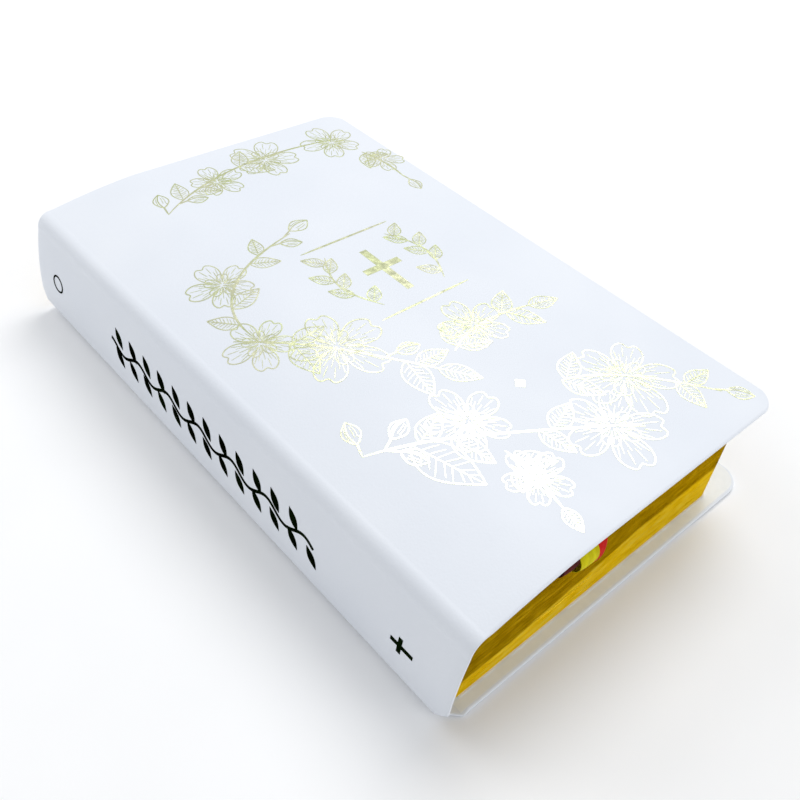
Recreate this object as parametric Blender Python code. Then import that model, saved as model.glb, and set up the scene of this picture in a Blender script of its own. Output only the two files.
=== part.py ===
"""A thick limp-cover bible with gilded page edges, lying closed on its back cover.

The book is built the way it is bound. Sewn sections of thin paper make the text block. Thread,
gauze and paper line its back, two loose flyleaves lie on it, and one soft cover skin wraps over
flexible boards and a spine strip. The cover folds at two hinges and the block opens at its middle,
so whatever crosses a fold is made as a piece on each side of it.

+X runs from the spine to the fore-edge, +Y from the tail to the head, and +Z up. The origin is the
centre of the bottom of the bounding box. The lengths below are in millimetres, and x is measured
from the spine's outermost line until place() moves it to the origin.
"""
import math

import bmesh
import bpy

# Driving dimensions of the closed book
MM = 0.001
LENGTH = 225.0
BACK_WIDTH = 148.6
FRONT_WIDTH = 141.1
THICKNESS = 44.7
COVER = 1.6

# The spine's cross-section
HINGE_X = 7.5
LOW_CORNER = 5.5
HIGH_CORNER = 34.5
HINGE_TOP = 40.4
LEAN = 2.6
LEAN_START = 10.0
MIDDLE = 22.0

# The front cover rises from its hinge to the full thickness along this stretch
HUMP_END = 45.0
HUMP_POWER = 1.6

# Cover panels
CORNER_RADIUS = 8.5
HINGE_GAP = 0.3
RIM = 1.2
RIM_GAP = 0.15
SKIN = 0.8
BOARD_LAYER = (0.9, 1.35)
PASTEDOWN_LAYER = (1.43, 1.58)

# Layers of the spine, as depths below its outer face
SPINE_SKIN_LAYER = (0.0, 0.9)
STRIP_LAYER = (1.0, 1.5)
LINER_LAYER = (1.6, 1.9)
GAUZE_LAYER = (2.0, 2.3)
THREAD_DEPTH = 2.6
THREAD_RADIUS = 0.2
BACK_DEPTH = 2.9
LINING_LOW = 6.0
LINING_HIGH = 34.0
LINING_MARGIN = 12.0
STRIP_MARGIN = 3.0
SPLIT_GAP = 0.3

# Text block
SECTION_COUNT = 24
SECTION_GAP = 0.1
TAIL_MARGIN = 4.8
PAGE_CORNER = 4.0
FORE_LOW = 132.6
FORE_HIGH = 130.4
SHOULDER = 1.7
NOSE = 0.6
FLYLEAF = 0.2
FLYLEAF_X = 10.0
SHEET_GAP = 0.1
BAND_WIDTH = 2.2
BAND_DEPTH = 1.0
STITCH_STATIONS = 6

# Ribbon markers: name, section that it lies on, low and high x at the tail, reach, drop, colour
RIBBON = 0.25
RIBBON_SLOT = 0.45
RIBBON_TOP_X = 14.0
RIBBONS = (
    ("maroon", 21, 40.0, 46.8, 3.0, 7.2, (0.13, 0.005, 0.012)),
    ("gold", 20, 47.2, 55.2, 3.4, 7.6, (0.72, 0.62, 0.02)),
    ("red", 19, 55.6, 61.4, 1.9, 10.6, (0.80, 0.015, 0.01)),
)
TAIL_START = 0.3

WHITE = (0.86, 0.88, 0.92)
CREAM = (0.90, 0.88, 0.80)
GOLD = (0.83, 0.62, 0.10)
CARD = (0.62, 0.55, 0.44)
KRAFT = (0.60, 0.45, 0.28)
GAUZE = (0.88, 0.86, 0.80)
THREAD = (0.93, 0.92, 0.88)


def place(x, y, z):
    """A point of the book, from millimetres to metres about the origin."""
    return ((x - BACK_WIDTH / 2) * MM, (y - LENGTH / 2) * MM, z * MM)


def clear_scene():
    for old in list(bpy.data.objects):
        bpy.data.objects.remove(old, do_unlink=True)


def material(name, color, roughness, metallic=0.0):
    found = bpy.data.materials.get(name)
    if found:
        return found
    made = bpy.data.materials.new(name)
    made.use_nodes = True
    shader = made.node_tree.nodes["Principled BSDF"]
    shader.inputs["Base Color"].default_value = (*color, 1.0)
    shader.inputs["Roughness"].default_value = roughness
    shader.inputs["Metallic"].default_value = metallic
    return made


def loft(name, rings, finish):
    """A closed solid through rings of equal point counts, with both end rings filled."""
    shape = bmesh.new()
    loops = [[shape.verts.new(place(*point)) for point in ring] for ring in rings]
    shape.faces.new(loops[0])
    shape.faces.new(loops[-1])
    for here, there in zip(loops, loops[1:]):
        for i in range(len(here)):
            j = (i + 1) % len(here)
            shape.faces.new((here[i], here[j], there[j], there[i]))
    bmesh.ops.triangulate(shape, faces=shape.faces)
    bmesh.ops.recalc_face_normals(shape, faces=shape.faces)
    mesh = bpy.data.meshes.new(name)
    shape.to_mesh(mesh)
    shape.free()
    mesh.materials.append(finish)
    made = bpy.data.objects.new(name, mesh)
    bpy.context.scene.collection.objects.link(made)
    return made


def smooth(made, angle=40.0):
    made.data.shade_smooth()
    made.data.set_sharp_from_angle(angle=math.radians(angle))


# ---- outlines -------------------------------------------------------------------------------

def front_z(x):
    """Height of the front cover's outer face."""
    if x >= HUMP_END:
        return THICKNESS
    share = (HUMP_END - x) / (HUMP_END - HINGE_X)
    return THICKNESS - (THICKNESS - HINGE_TOP) * share ** HUMP_POWER


def face_x(z):
    """The spine's outer face: nearly upright, leaning in towards the top."""
    share = (z - LEAN_START) / (HIGH_CORNER - LEAN_START)
    return LEAN * share * share


def corner(points, z_centre, height, half_width, quadrant):
    """Points of an elliptical spine corner about x = HINGE_X."""
    out = []
    for i in range(points + 1):
        turn = math.pi / 2 * i / points
        x = HINGE_X - half_width * math.sin(turn)
        out.append((x, z_centre + quadrant * height * math.cos(turn)))
    return out


def spine_path():
    """The spine's outer line from the back cover's hinge, round and up to the front cover's."""
    low = corner(7, LOW_CORNER, LOW_CORNER, HINGE_X - face_x(LOW_CORNER), -1)
    high = corner(7, HIGH_CORNER, HINGE_TOP - HIGH_CORNER, HINGE_X - LEAN, 1)
    steps = 14
    rise = (HIGH_CORNER - LOW_CORNER) / steps
    face = [(face_x(LOW_CORNER + i * rise), LOW_CORNER + i * rise) for i in range(1, steps)]
    return low + face + high[::-1]


def inward(path, depth):
    """The path moved inwards by depth, along its own normals."""
    out = []
    for i, (x, z) in enumerate(path):
        x0, z0 = path[max(i - 1, 0)]
        x1, z1 = path[min(i + 1, len(path) - 1)]
        length = math.hypot(x1 - x0, z1 - z0)
        out.append((x + depth * (z1 - z0) / length, z - depth * (x1 - x0) / length))
    return out


def cut_path(path, low, high):
    """The stretch of a path between two heights, with points on both heights."""
    out = []
    for (x0, z0), (x1, z1) in zip(path, path[1:]):
        for limit in (low, high):
            if z0 < limit < z1:
                out.append((x0 + (x1 - x0) * (limit - z0) / (z1 - z0), limit))
        if low < z1 < high:
            out.append((x1, z1))
    return out


def nose_x(z):
    """Where a section's fold lies: the block's back, with rounded shoulders."""
    low_reach = HINGE_X - face_x(LOW_CORNER) - BACK_DEPTH
    high_reach = HINGE_X - LEAN - BACK_DEPTH
    if z < LOW_CORNER:
        share = (LOW_CORNER - z) / (LOW_CORNER - SHOULDER)
        return HINGE_X - low_reach * math.sqrt(max(0.0, 1 - share * share))
    if z > HIGH_CORNER:
        share = (z - HIGH_CORNER) / (HINGE_TOP - SHOULDER - HIGH_CORNER)
        return HINGE_X - high_reach * math.sqrt(max(0.0, 1 - share * share))
    return face_x(z) + BACK_DEPTH


def spread(low, high, count):
    return [low + (high - low) * i / count for i in range(count + 1)]


def sheet_stations(x0, x1, radius):
    """Stations across a sheet: close over the hump, far on the flat, close at the round corner."""
    hump = [x for x in spread(HINGE_X, HUMP_END, 8) if x0 < x < x1 - radius]
    turn = [x1 - radius + radius * math.sin(math.pi / 2 * i / 6) for i in range(7)]
    return [x0] + hump + turn


def sheet(name, x0, x1, margin, radius, bottom, top, finish):
    """A thin sheet with round corners at the fore-edge, between two heights that vary with x."""
    rings = []
    for x in sheet_stations(x0, x1, radius):
        over = max(0.0, x - (x1 - radius))
        edge = margin + radius - math.sqrt(max(0.0, radius * radius - over * over))
        edge = min(edge, margin + radius)
        low, high = bottom(x), top(x)
        rings.append(((x, edge, low), (x, LENGTH - edge, low),
                      (x, LENGTH - edge, high), (x, edge, high)))
    return loft(name, rings, finish)


def wrap(name, path, layer, y0, y1, finish):
    """A layer of the spine: a strip along the path, between two depths."""
    outer = inward(path, layer[0])
    inner = inward(path, layer[1])
    rings = []
    for (xo, zo), (xi, zi) in zip(outer, inner):
        rings.append(((xo, y0, zo), (xo, y1, zo), (xi, y1, zi), (xi, y0, zi)))
    made = loft(name, rings, finish)
    smooth(made)
    return made


# ---- cover ----------------------------------------------------------------------------------

def cover_panel(side, width, height, inner_sign):
    """Skin with turned-in rim, board and pastedown. height(x, depth) is measured inwards."""
    x0 = HINGE_X + HINGE_GAP
    skin_finish = material("cover_skin", WHITE, 0.55)

    def layer(name, near, far, inset, finish):
        edge = CORNER_RADIUS - inset
        heights = [lambda x, d=depth: height(x, d) for depth in (near, far)]
        low, high = heights if inner_sign > 0 else heights[::-1]
        return sheet(name, x0 + inset, width - inset, inset, edge, low, high, finish)

    skin = layer(side + "_cover_skin", 0.0, COVER, 0.0, skin_finish)
    pocket = layer(side + "_pocket_cutter", SKIN, COVER + 1.0, RIM, skin_finish)
    pocket.hide_render = True
    pocket.display_type = "WIRE"
    cut = skin.modifiers.new("pocket", "BOOLEAN")
    cut.operation = "DIFFERENCE"
    cut.solver = "EXACT"
    cut.object = pocket
    board_inset = RIM + RIM_GAP
    layer(side + "_board", *BOARD_LAYER, board_inset, material("card", CARD, 0.9))
    layer(side + "_pastedown", *PASTEDOWN_LAYER, board_inset, material("endpaper", CREAM, 0.85))


def back_height(x, depth):
    return depth


def front_height(x, depth):
    return front_z(x) - depth


def spine_layer(name, layer, low, high, margin, finish):
    """One layer of the spine in two halves, parted where the block opens."""
    path = spine_path()
    rear = cut_path(path, low, MIDDLE - SPLIT_GAP / 2)
    front = cut_path(path, MIDDLE + SPLIT_GAP / 2, high)
    if low <= 0.0:
        rear = [path[0]] + rear
    if high >= HINGE_TOP:
        front = front + [path[-1]]
    wrap(name + "_rear", rear, layer, margin, LENGTH - margin, finish)
    wrap(name + "_front", front, layer, margin, LENGTH - margin, finish)


def spine():
    spine_layer("spine_skin", SPINE_SKIN_LAYER, 0.0, HINGE_TOP, 0.0,
                material("cover_skin", WHITE, 0.55))
    spine_layer("spine_strip", STRIP_LAYER, LINING_LOW, LINING_HIGH, STRIP_MARGIN,
                material("card", CARD, 0.9))
    spine_layer("spine_liner", LINER_LAYER, LINING_LOW, LINING_HIGH, LINING_MARGIN,
                material("kraft", KRAFT, 0.9))
    spine_layer("spine_gauze", GAUZE_LAYER, LINING_LOW, LINING_HIGH, LINING_MARGIN,
                material("gauze", GAUZE, 0.95))


# ---- text block -----------------------------------------------------------------------------

def ribbons_under(index):
    return sum(1 for ribbon in RIBBONS if ribbon[1] < index)


def block_bottom():
    return COVER + SHEET_GAP + FLYLEAF + SHEET_GAP


def block_top(x):
    return front_z(max(x, HINGE_X)) - block_bottom()


def section_low(index, x):
    """Height of the bottom of a section, counted from the back of the book."""
    paper = block_top(x) - block_bottom() - RIBBON_SLOT * len(RIBBONS)
    return block_bottom() + paper * index / SECTION_COUNT + RIBBON_SLOT * ribbons_under(index)


def section_high(index, x):
    paper = block_top(x) - block_bottom() - RIBBON_SLOT * len(RIBBONS)
    return section_low(index, x) + paper / SECTION_COUNT - SECTION_GAP


def section(index):
    """One sewn section: folded sheets, narrow at the fold and square at the other edges."""
    low = section_low(index, HINGE_X)
    high = section_high(index, HINGE_X)
    nose = max(nose_x(low), nose_x(high))
    share = index / (SECTION_COUNT - 1)
    fore = FORE_LOW + (FORE_HIGH - FORE_LOW) * share

    def taper(x):
        return 0.3 * max(0.0, 1 - (x - nose) / NOSE)

    def bottom(x):
        return section_low(index, x) + taper(x)

    def top(x):
        return section_high(index, x) - taper(x)

    stations = [nose, nose + NOSE / 2, nose + NOSE]
    stations += [x for x in sheet_stations(HINGE_X, fore, PAGE_CORNER) if x > nose + NOSE + 0.2]
    rings = []
    for x in stations:
        over = max(0.0, x - (fore - PAGE_CORNER))
        edge = TAIL_MARGIN + PAGE_CORNER - math.sqrt(max(0.0, PAGE_CORNER ** 2 - over * over))
        rings.append(((x, edge, bottom(x)), (x, LENGTH - edge, bottom(x)),
                      (x, LENGTH - edge, top(x)), (x, edge, top(x))))
    loft(f"section_{index + 1:02d}", rings, material("gilt_paper", GOLD, 0.3, 0.8))


def flyleaves():
    paper = material("endpaper", CREAM, 0.85)
    low = COVER + SHEET_GAP
    sheet("back_flyleaf", FLYLEAF_X, FORE_LOW, TAIL_MARGIN, PAGE_CORNER,
          lambda x: low, lambda x: low + FLYLEAF, paper)
    sheet("front_flyleaf", FLYLEAF_X, FORE_HIGH, TAIL_MARGIN, PAGE_CORNER,
          lambda x: front_z(x) - low - FLYLEAF, lambda x: front_z(x) - low, paper)


def bands():
    """Woven bands over the ends of the folds, at the head and the tail."""
    halves = (("rear", LOW_CORNER, MIDDLE - SPLIT_GAP / 2),
              ("front", MIDDLE + SPLIT_GAP / 2, HIGH_CORNER))
    ends = (("tail", TAIL_MARGIN - SHEET_GAP - BAND_DEPTH), ("head", LENGTH - TAIL_MARGIN + SHEET_GAP))
    for half, low, high in halves:
        for end, y0 in ends:
            rings = []
            for z in spread(low, high, 6):
                x = face_x(z) + BACK_DEPTH
                ring = []
                for i in range(8):
                    turn = 2 * math.pi * i / 8
                    ring.append((x + BAND_WIDTH / 2 * (1 + math.cos(turn)),
                                 y0 + BAND_DEPTH / 2 * (1 + math.sin(turn)), z))
                rings.append(ring)
            made = loft(f"{end}_band_{half}", rings, material("band", THREAD, 0.8))
            smooth(made, 60.0)


def tube(name, points, radius, finish):
    line = bpy.data.curves.new(name, "CURVE")
    line.dimensions = "3D"
    line.bevel_depth = radius * MM
    line.bevel_resolution = 2
    line.use_fill_caps = True
    spline = line.splines.new("POLY")
    spline.points.add(len(points) - 1)
    for target, point in zip(spline.points, points):
        target.co = (*place(*point), 1.0)
    line.materials.append(finish)
    made = bpy.data.objects.new(name, line)
    bpy.context.scene.collection.objects.link(made)


def threads():
    """The sewing thread's runs over the folds, up at one station and down at the next."""
    halves = (("rear", LINING_LOW + 1, MIDDLE - 1), ("front", MIDDLE + 1, LINING_HIGH - 1))
    stations = spread(LINING_MARGIN + 10, LENGTH - LINING_MARGIN - 10, STITCH_STATIONS - 1)
    for half, low, high in halves:
        points = []
        for i, y in enumerate(stations):
            rise = spread(low, high, 4)
            if i % 2:
                rise.reverse()
            points += [(face_x(z) + THREAD_DEPTH, y, z) for z in rise]
        tube("sewing_thread_" + half, points, THREAD_RADIUS, material("thread", THREAD, 0.7))


# ---- ribbon markers -------------------------------------------------------------------------

def slot_z(index, x):
    """Middle of the slot in which a ribbon lies, on top of a section."""
    return section_high(index, x) + (SECTION_GAP + RIBBON_SLOT) / 2


def ribbon_inside(name, index, x0, x1, finish):
    """The marker's long run between two sections, from the head of the spine to the tail."""
    rings = []
    width = x1 - x0
    for share in spread(0.0, 1.0, 12):
        y = TAIL_MARGIN + SHEET_GAP + share * (LENGTH - 2 * TAIL_MARGIN - 2 * SHEET_GAP)
        left = x0 + (RIBBON_TOP_X - x0) * share
        across = spread(left, left + width, 2)
        under = [(x, y, slot_z(index, x) - RIBBON / 2) for x in across]
        over = [(x, y, slot_z(index, x) + RIBBON / 2) for x in reversed(across)]
        rings.append(under + over)
    loft("ribbon_" + name, rings, finish)


def tail_line(z_top, reach, drop):
    """The tail end's line in y and z: out of the slot, over in a curl, and back to the pages."""
    out = []
    for i in range(11):
        turn = math.pi * i / 10
        y = TAIL_MARGIN - TAIL_START - reach * math.sin(turn)
        z = z_top - drop * (1 - math.cos(turn)) / 2
        out.append((y, z))
    return out


def ribbon_tail(name, index, x0, x1, reach, drop, finish):
    line = tail_line(slot_z(index, x0), reach, drop)
    rings = []
    for i, (y, z) in enumerate(line):
        ya, za = line[max(i - 1, 0)]
        yb, zb = line[min(i + 1, len(line) - 1)]
        length = math.hypot(yb - ya, zb - za)
        ny, nz = -(zb - za) / length * RIBBON / 2, (yb - ya) / length * RIBBON / 2
        rings.append(((x0, y - ny, z - nz), (x1, y - ny, z - nz),
                      (x1, y + ny, z + nz), (x0, y + ny, z + nz)))
    made = loft("ribbon_" + name + "_tail", rings, finish)
    smooth(made, 60.0)


def ribbons():
    for name, index, x0, x1, reach, drop, color in RIBBONS:
        finish = material("ribbon_" + name, color, 0.5)
        ribbon_inside(name, index, x0, x1, finish)
        ribbon_tail(name, index, x0, x1, reach, drop, finish)


def main():
    clear_scene()
    cover_panel("back", BACK_WIDTH, back_height, 1)
    cover_panel("front", FRONT_WIDTH, front_height, -1)
    spine()
    for index in range(SECTION_COUNT):
        section(index)
    flyleaves()
    bands()
    threads()
    ribbons()


main()
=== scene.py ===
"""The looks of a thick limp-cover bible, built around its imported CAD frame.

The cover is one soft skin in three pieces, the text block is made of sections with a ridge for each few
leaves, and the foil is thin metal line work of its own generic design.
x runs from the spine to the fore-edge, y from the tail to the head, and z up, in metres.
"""
import math
import random

import bmesh
import bpy
from mathutils import Matrix, Vector


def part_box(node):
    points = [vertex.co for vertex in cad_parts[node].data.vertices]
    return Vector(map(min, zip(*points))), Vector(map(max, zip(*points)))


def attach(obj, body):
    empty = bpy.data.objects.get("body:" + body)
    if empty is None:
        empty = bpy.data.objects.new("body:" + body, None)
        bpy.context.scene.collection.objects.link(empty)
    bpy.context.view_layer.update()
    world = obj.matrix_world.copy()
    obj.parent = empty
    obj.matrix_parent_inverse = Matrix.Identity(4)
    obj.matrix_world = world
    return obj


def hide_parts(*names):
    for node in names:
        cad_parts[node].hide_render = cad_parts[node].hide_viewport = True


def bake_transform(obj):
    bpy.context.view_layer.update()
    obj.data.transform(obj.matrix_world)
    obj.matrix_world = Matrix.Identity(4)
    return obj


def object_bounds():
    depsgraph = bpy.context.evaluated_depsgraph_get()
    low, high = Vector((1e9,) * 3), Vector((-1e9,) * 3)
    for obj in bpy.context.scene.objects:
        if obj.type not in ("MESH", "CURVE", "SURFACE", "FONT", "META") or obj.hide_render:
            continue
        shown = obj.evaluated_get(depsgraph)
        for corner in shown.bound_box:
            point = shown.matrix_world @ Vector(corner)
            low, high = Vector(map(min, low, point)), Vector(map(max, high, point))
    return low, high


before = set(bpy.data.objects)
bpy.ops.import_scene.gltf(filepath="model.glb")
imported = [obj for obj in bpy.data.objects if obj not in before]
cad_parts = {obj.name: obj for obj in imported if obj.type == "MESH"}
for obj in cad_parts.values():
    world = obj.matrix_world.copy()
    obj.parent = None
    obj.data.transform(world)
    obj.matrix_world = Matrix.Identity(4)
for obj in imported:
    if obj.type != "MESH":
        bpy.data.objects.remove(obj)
CAD_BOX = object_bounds()
MM = 0.001

# Places read from the frame
LOW, HIGH = (Vector(corner) for corner in CAD_BOX)
LEFT = LOW.x
TAIL = LOW.y
HEAD = HIGH.y
TOP = HIGH.z
FRONT_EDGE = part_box("front_cover_skin")[1].x
BACK_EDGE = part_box("back_cover_skin")[1].x
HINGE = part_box("spine_skin_front")[1].x
HINGE_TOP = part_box("spine_skin_front")[1].z
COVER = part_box("back_cover_skin")[1].z
PAGE_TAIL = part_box("section_01")[0].y
PAGE_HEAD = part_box("section_01")[1].y

# The cover's cross-section, as the frame has it
LOW_CORNER = 5.5 * MM
HIGH_CORNER = 34.5 * MM
LEAN = 2.6 * MM
LEAN_START = 10.0 * MM
HUMP_END = LEFT + 45.0 * MM
HUMP_POWER = 1.6
SPINE_DEPTH = 0.9 * MM
CORNER_RADIUS = 8.5 * MM
RIM = 1.2 * MM
SKIN = 0.8 * MM
RIM_SLOPE = 0.05 * MM
POCKET_START = HINGE + RIM + 0.3 * MM

# How far the cover's thin fold reaches past the hinge, and where the spine's skin is parted
HINGE_REACH = 2.6 * MM
SEAM_LOW = 13.0 * MM
SEAM_HIGH = 31.0 * MM

# The slanted cut at the ends of the spine's bottom corner, and its share at the head
CUT_X = 7.8 * MM
CUT_Y = 9.0 * MM
CUT_Z = 9.5 * MM
HEAD_CUT = 0.45

# Text block
SECTION_COUNT = 24
LEAF_RIDGES = 15
RIDGE_DEPTH = 0.06 * MM
BLOCK_BOTTOM = 2.0 * MM
BACK_DEPTH = 2.9 * MM
SHOULDER = 1.7 * MM
PAGE_CORNER = 4.0 * MM
LEAF_GAP = 0.03 * MM
RIBBON_SECTIONS = (19, 20, 21)
RIBBON_SLOT = 0.45 * MM
RIBBON_HALF = 0.11 * MM
SLOT_FILL = 0.07 * MM

# Painted shade and reflection on the gilding: painted darker above a line that rises towards the
# fore-edge, as the front cover's overhang shades it, and painted brighter below as the back cover's
# lining reflects in it
PAINTED_SHADE_LINE = 9.5 * MM
PAINTED_SHADE_RISE = 7.5 * MM

# Linings and flyleaves
LINING_INSET = 1.0 * MM
LINING_RISE = 0.06 * MM
LINING_THICK = 0.16 * MM
FLYLEAF_START = 10.0 * MM
FLYLEAF_LOW = 1.69 * MM
FLYLEAF_THICK = 0.11 * MM
FLYLEAF_GAP = 0.03 * MM
FLYLEAF_PROUD = 0.5 * MM
FLYLEAF_WAVE = 0.22 * MM

# The camera's place, direction and roll
CAMERA_PLACE = (-0.17643, -0.17445, 0.23005)
CAMERA_AIM = (0.53493, 0.49359, -0.68572)
CAMERA_ROLL = 7.92
CAMERA_LENS = 40.8

# Foil line work
FOIL_RISE = 0.06 * MM
FOIL_STEP = 0.0006 * MM
FOIL_LEVELS = 101
FOIL_LINE = 0.4 * MM
STALK = 0.6 * MM
STEM_STEPS = 24
PETALS = 5
SINGLE_BLOSSOM = 9 * MM

# Lights: name, place, the point that it faces, diameter and power
LIGHTS = (
    ("overhead", (0.75, 0.35, 1.4), (0, 0, 0.02), 1.1, 13.0),
    ("rear", (-0.35, 0.8, 0.5), (0, 0.05, 0.02), 0.7, 2.4),
    ("fill", (0.35, -1.0, 0.25), (0, 0, 0.02), 0.8, 2.6),
)
FLOOR_REACH = 4.0
FLOOR_DROP = 0.3 * MM


# ---- outlines ---------------------------------------------------------------------------------

def front_z(x):
    """Height of the front cover's outer face."""
    if x >= HUMP_END:
        return TOP
    share = (HUMP_END - x) / (HUMP_END - HINGE)
    return TOP - (TOP - HINGE_TOP) * min(1.0, share) ** HUMP_POWER


def face_x(z):
    """The spine's outer face at a height."""
    share = (z - LEAN_START) / (HIGH_CORNER - LEAN_START)
    return LEFT + LEAN * share * share


def spread(low, high, count):
    """Numbers from low to high in equal steps, both ends included."""
    return [low + (high - low) * i / count for i in range(count + 1)]


def arc_edge(x, edge_x, radius):
    """How far a round corner pulls the edge in at x."""
    over = min(radius, max(0.0, x - (edge_x - radius)))
    return radius - math.sqrt(max(0.0, radius * radius - over * over))


def cover_stations(edge_x):
    """x from the hinge to the fore-edge: close at the hinge, the pocket's walls and the corner."""
    near = spread(HINGE, HINGE + 4 * MM, 10)
    wall = [POCKET_START, POCKET_START + RIM_SLOPE]
    flat = spread(HINGE + 6 * MM, edge_x - CORNER_RADIUS, 56)
    turn = [edge_x - CORNER_RADIUS * (1 - math.sin(math.pi / 2 * i / 14)) for i in range(1, 12)]
    far = [edge_x - RIM - RIM_SLOPE, edge_x - RIM]
    end = [edge_x - SKIN * (1 - math.sin(math.pi / 2 * i / 8)) for i in range(9)]
    return sorted(set(near + wall + flat + [x for x in turn if x < end[0]] + far + end))


def corner_points(z_centre, height, reach, up):
    """A quarter ellipse round one corner of the spine, from the hinge to the spine's face."""
    out = []
    for i in range(17):
        turn = math.pi / 2 * i / 16
        out.append((HINGE - reach * math.sin(turn), z_centre + up * height * math.cos(turn)))
    return out


def cover_path():
    """The cover's outer line: front fore-edge, hinge, spine, hinge, back fore-edge."""
    front = [(x, front_z(x)) for x in reversed(cover_stations(FRONT_EDGE))]
    high = corner_points(HIGH_CORNER, HINGE_TOP - HIGH_CORNER, HINGE - LEFT - LEAN, 1)[1:]
    face = [(face_x(z), z) for z in reversed(spread(LOW_CORNER, HIGH_CORNER, 40))][1:-1]
    low_reach = HINGE - face_x(LOW_CORNER)
    low = corner_points(LOW_CORNER, LOW_CORNER, low_reach, -1)[::-1][:-1]
    back = [(x, 0.0) for x in cover_stations(BACK_EDGE)]
    return front + high + face + low + back


def mesh_object(name, verts, faces, materials, smooth_angle=None):
    mesh = bpy.data.meshes.new(name)
    mesh.from_pydata(verts, [], faces)
    for finish in materials:
        mesh.materials.append(finish)
    mesh.validate()
    made = bpy.data.objects.new(name, mesh)
    bpy.context.scene.collection.objects.link(made)
    if smooth_angle:
        mesh.shade_smooth()
        mesh.set_sharp_from_angle(angle=math.radians(smooth_angle))
    return made


# ---- materials --------------------------------------------------------------------------------

class Nodes:
    """Short calls for building one material's node tree."""

    def __init__(self, name, color, roughness, metallic=0.0):
        self.material = bpy.data.materials.new(name)
        self.material.use_nodes = True
        self.tree = self.material.node_tree
        self.shader = self.tree.nodes["Principled BSDF"]
        self.shader.inputs["Base Color"].default_value = (*color, 1.0)
        self.shader.inputs["Roughness"].default_value = roughness
        self.shader.inputs["Metallic"].default_value = metallic

    def add(self, kind, **values):
        node = self.tree.nodes.new(kind)
        for key, value in values.items():
            setattr(node, key, value)
        return node

    def link(self, source, target):
        self.tree.links.new(source, target)

    def coordinates(self, scale, kind="Object"):
        where = self.add("ShaderNodeTexCoord")
        mapping = self.add("ShaderNodeMapping")
        mapping.inputs["Scale"].default_value = scale
        self.link(where.outputs[kind], mapping.inputs["Vector"])
        return mapping.outputs["Vector"]

    def noise(self, vector, scale, detail=3.0, roughness=0.5):
        node = self.add("ShaderNodeTexNoise")
        node.inputs["Scale"].default_value = scale
        node.inputs["Detail"].default_value = detail
        node.inputs["Roughness"].default_value = roughness
        self.link(vector, node.inputs["Vector"])
        return node.outputs["Fac"]

    def ramp(self, factor, stops):
        node = self.add("ShaderNodeValToRGB")
        ramp = node.color_ramp
        while len(ramp.elements) < len(stops):
            ramp.elements.new(0.5)
        for element, (place, color) in zip(ramp.elements, stops):
            element.position = place
            element.color = (*color, 1.0)
        self.link(factor, node.inputs["Fac"])
        return node.outputs["Color"]

    def ridges(self, axis, scale, distortion):
        """Parallel waves across one axis."""
        node = self.add("ShaderNodeTexWave", wave_type="BANDS", bands_direction=axis)
        node.inputs["Scale"].default_value = scale
        node.inputs["Distortion"].default_value = distortion
        self.link(self.coordinates((1, 1, 1)), node.inputs["Vector"])
        return node.outputs["Fac"]

    def remap(self, value, low, high, new_low, new_high):
        """Maps low to high onto new_low to new_high, and holds the ends."""
        node = self.add("ShaderNodeMapRange")
        node.inputs["From Min"].default_value = low
        node.inputs["From Max"].default_value = high
        node.inputs["To Min"].default_value = new_low
        node.inputs["To Max"].default_value = new_high
        self.link(value, node.inputs["Value"])
        return node.outputs["Result"]

    def feed(self, value, target):
        """Gives an input a constant, or another node's output."""
        if isinstance(value, bpy.types.NodeSocket):
            self.link(value, target)
        else:
            target.default_value = value

    def calculate(self, operation, *values):
        node = self.add("ShaderNodeMath", operation=operation)
        for target, value in zip(node.inputs, values):
            self.feed(value, target)
        return node.outputs[0]

    def inside(self, value, low, high):
        """One between low and high, and nothing outside them."""
        over = self.calculate("GREATER_THAN", value, low)
        return self.calculate("MULTIPLY", over, self.calculate("LESS_THAN", value, high))

    def position(self):
        """The x, y and z of the point on the object."""
        where = self.add("ShaderNodeTexCoord")
        split = self.add("ShaderNodeSeparateXYZ")
        self.link(where.outputs["Object"], split.inputs["Vector"])
        return split.outputs["X"], split.outputs["Y"], split.outputs["Z"]

    def mix(self, factor, first, second):
        """The first colour where factor is nothing, the second where it is one."""
        node = self.add("ShaderNodeMix", data_type="RGBA")
        for key, value in (("Factor", factor), ("A", first), ("B", second)):
            self.feed(value, node.inputs[key])
        return node.outputs["Result"]

    def color(self, source):
        self.link(source, self.shader.inputs["Base Color"])

    def rough(self, source):
        self.link(source, self.shader.inputs["Roughness"])

    def bump(self, height, strength, distance, under=None):
        node = self.add("ShaderNodeBump")
        node.inputs["Strength"].default_value = strength
        node.inputs["Distance"].default_value = distance
        self.link(height, node.inputs["Height"])
        if under:
            self.link(under, node.inputs["Normal"])
        self.link(node.outputs["Normal"], self.shader.inputs["Normal"])
        return node.outputs["Normal"]


def leather():
    """Smooth white polyurethane: a fine pebble grain, faint pores and slow sheen changes."""
    made = Nodes("white_leather", (0.79, 0.83, 0.90), 0.5)
    vector = made.coordinates((1, 1, 1), "UV")
    slow = made.noise(vector, 18.0, 2.0)
    made.color(made.ramp(slow, ((0.3, (0.77, 0.805, 0.865)), (0.7, (0.81, 0.84, 0.89)))))
    made.rough(made.remap(made.noise(vector, 45.0, 4.0), 0.3, 0.7, 0.46, 0.6))
    cells = made.add("ShaderNodeTexVoronoi", feature="SMOOTH_F1")
    cells.inputs["Scale"].default_value = 1500.0
    made.link(vector, cells.inputs["Vector"])
    grain = made.bump(cells.outputs["Distance"], 0.16, 0.00015)
    made.bump(made.noise(vector, 260.0, 3.0), 0.10, 0.0004, grain)
    made.shader.inputs["Specular IOR Level"].default_value = 0.35
    made.shader.inputs["Sheen Weight"].default_value = 0.08
    made.shader.inputs["Sheen Roughness"].default_value = 0.5
    return made.material


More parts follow.
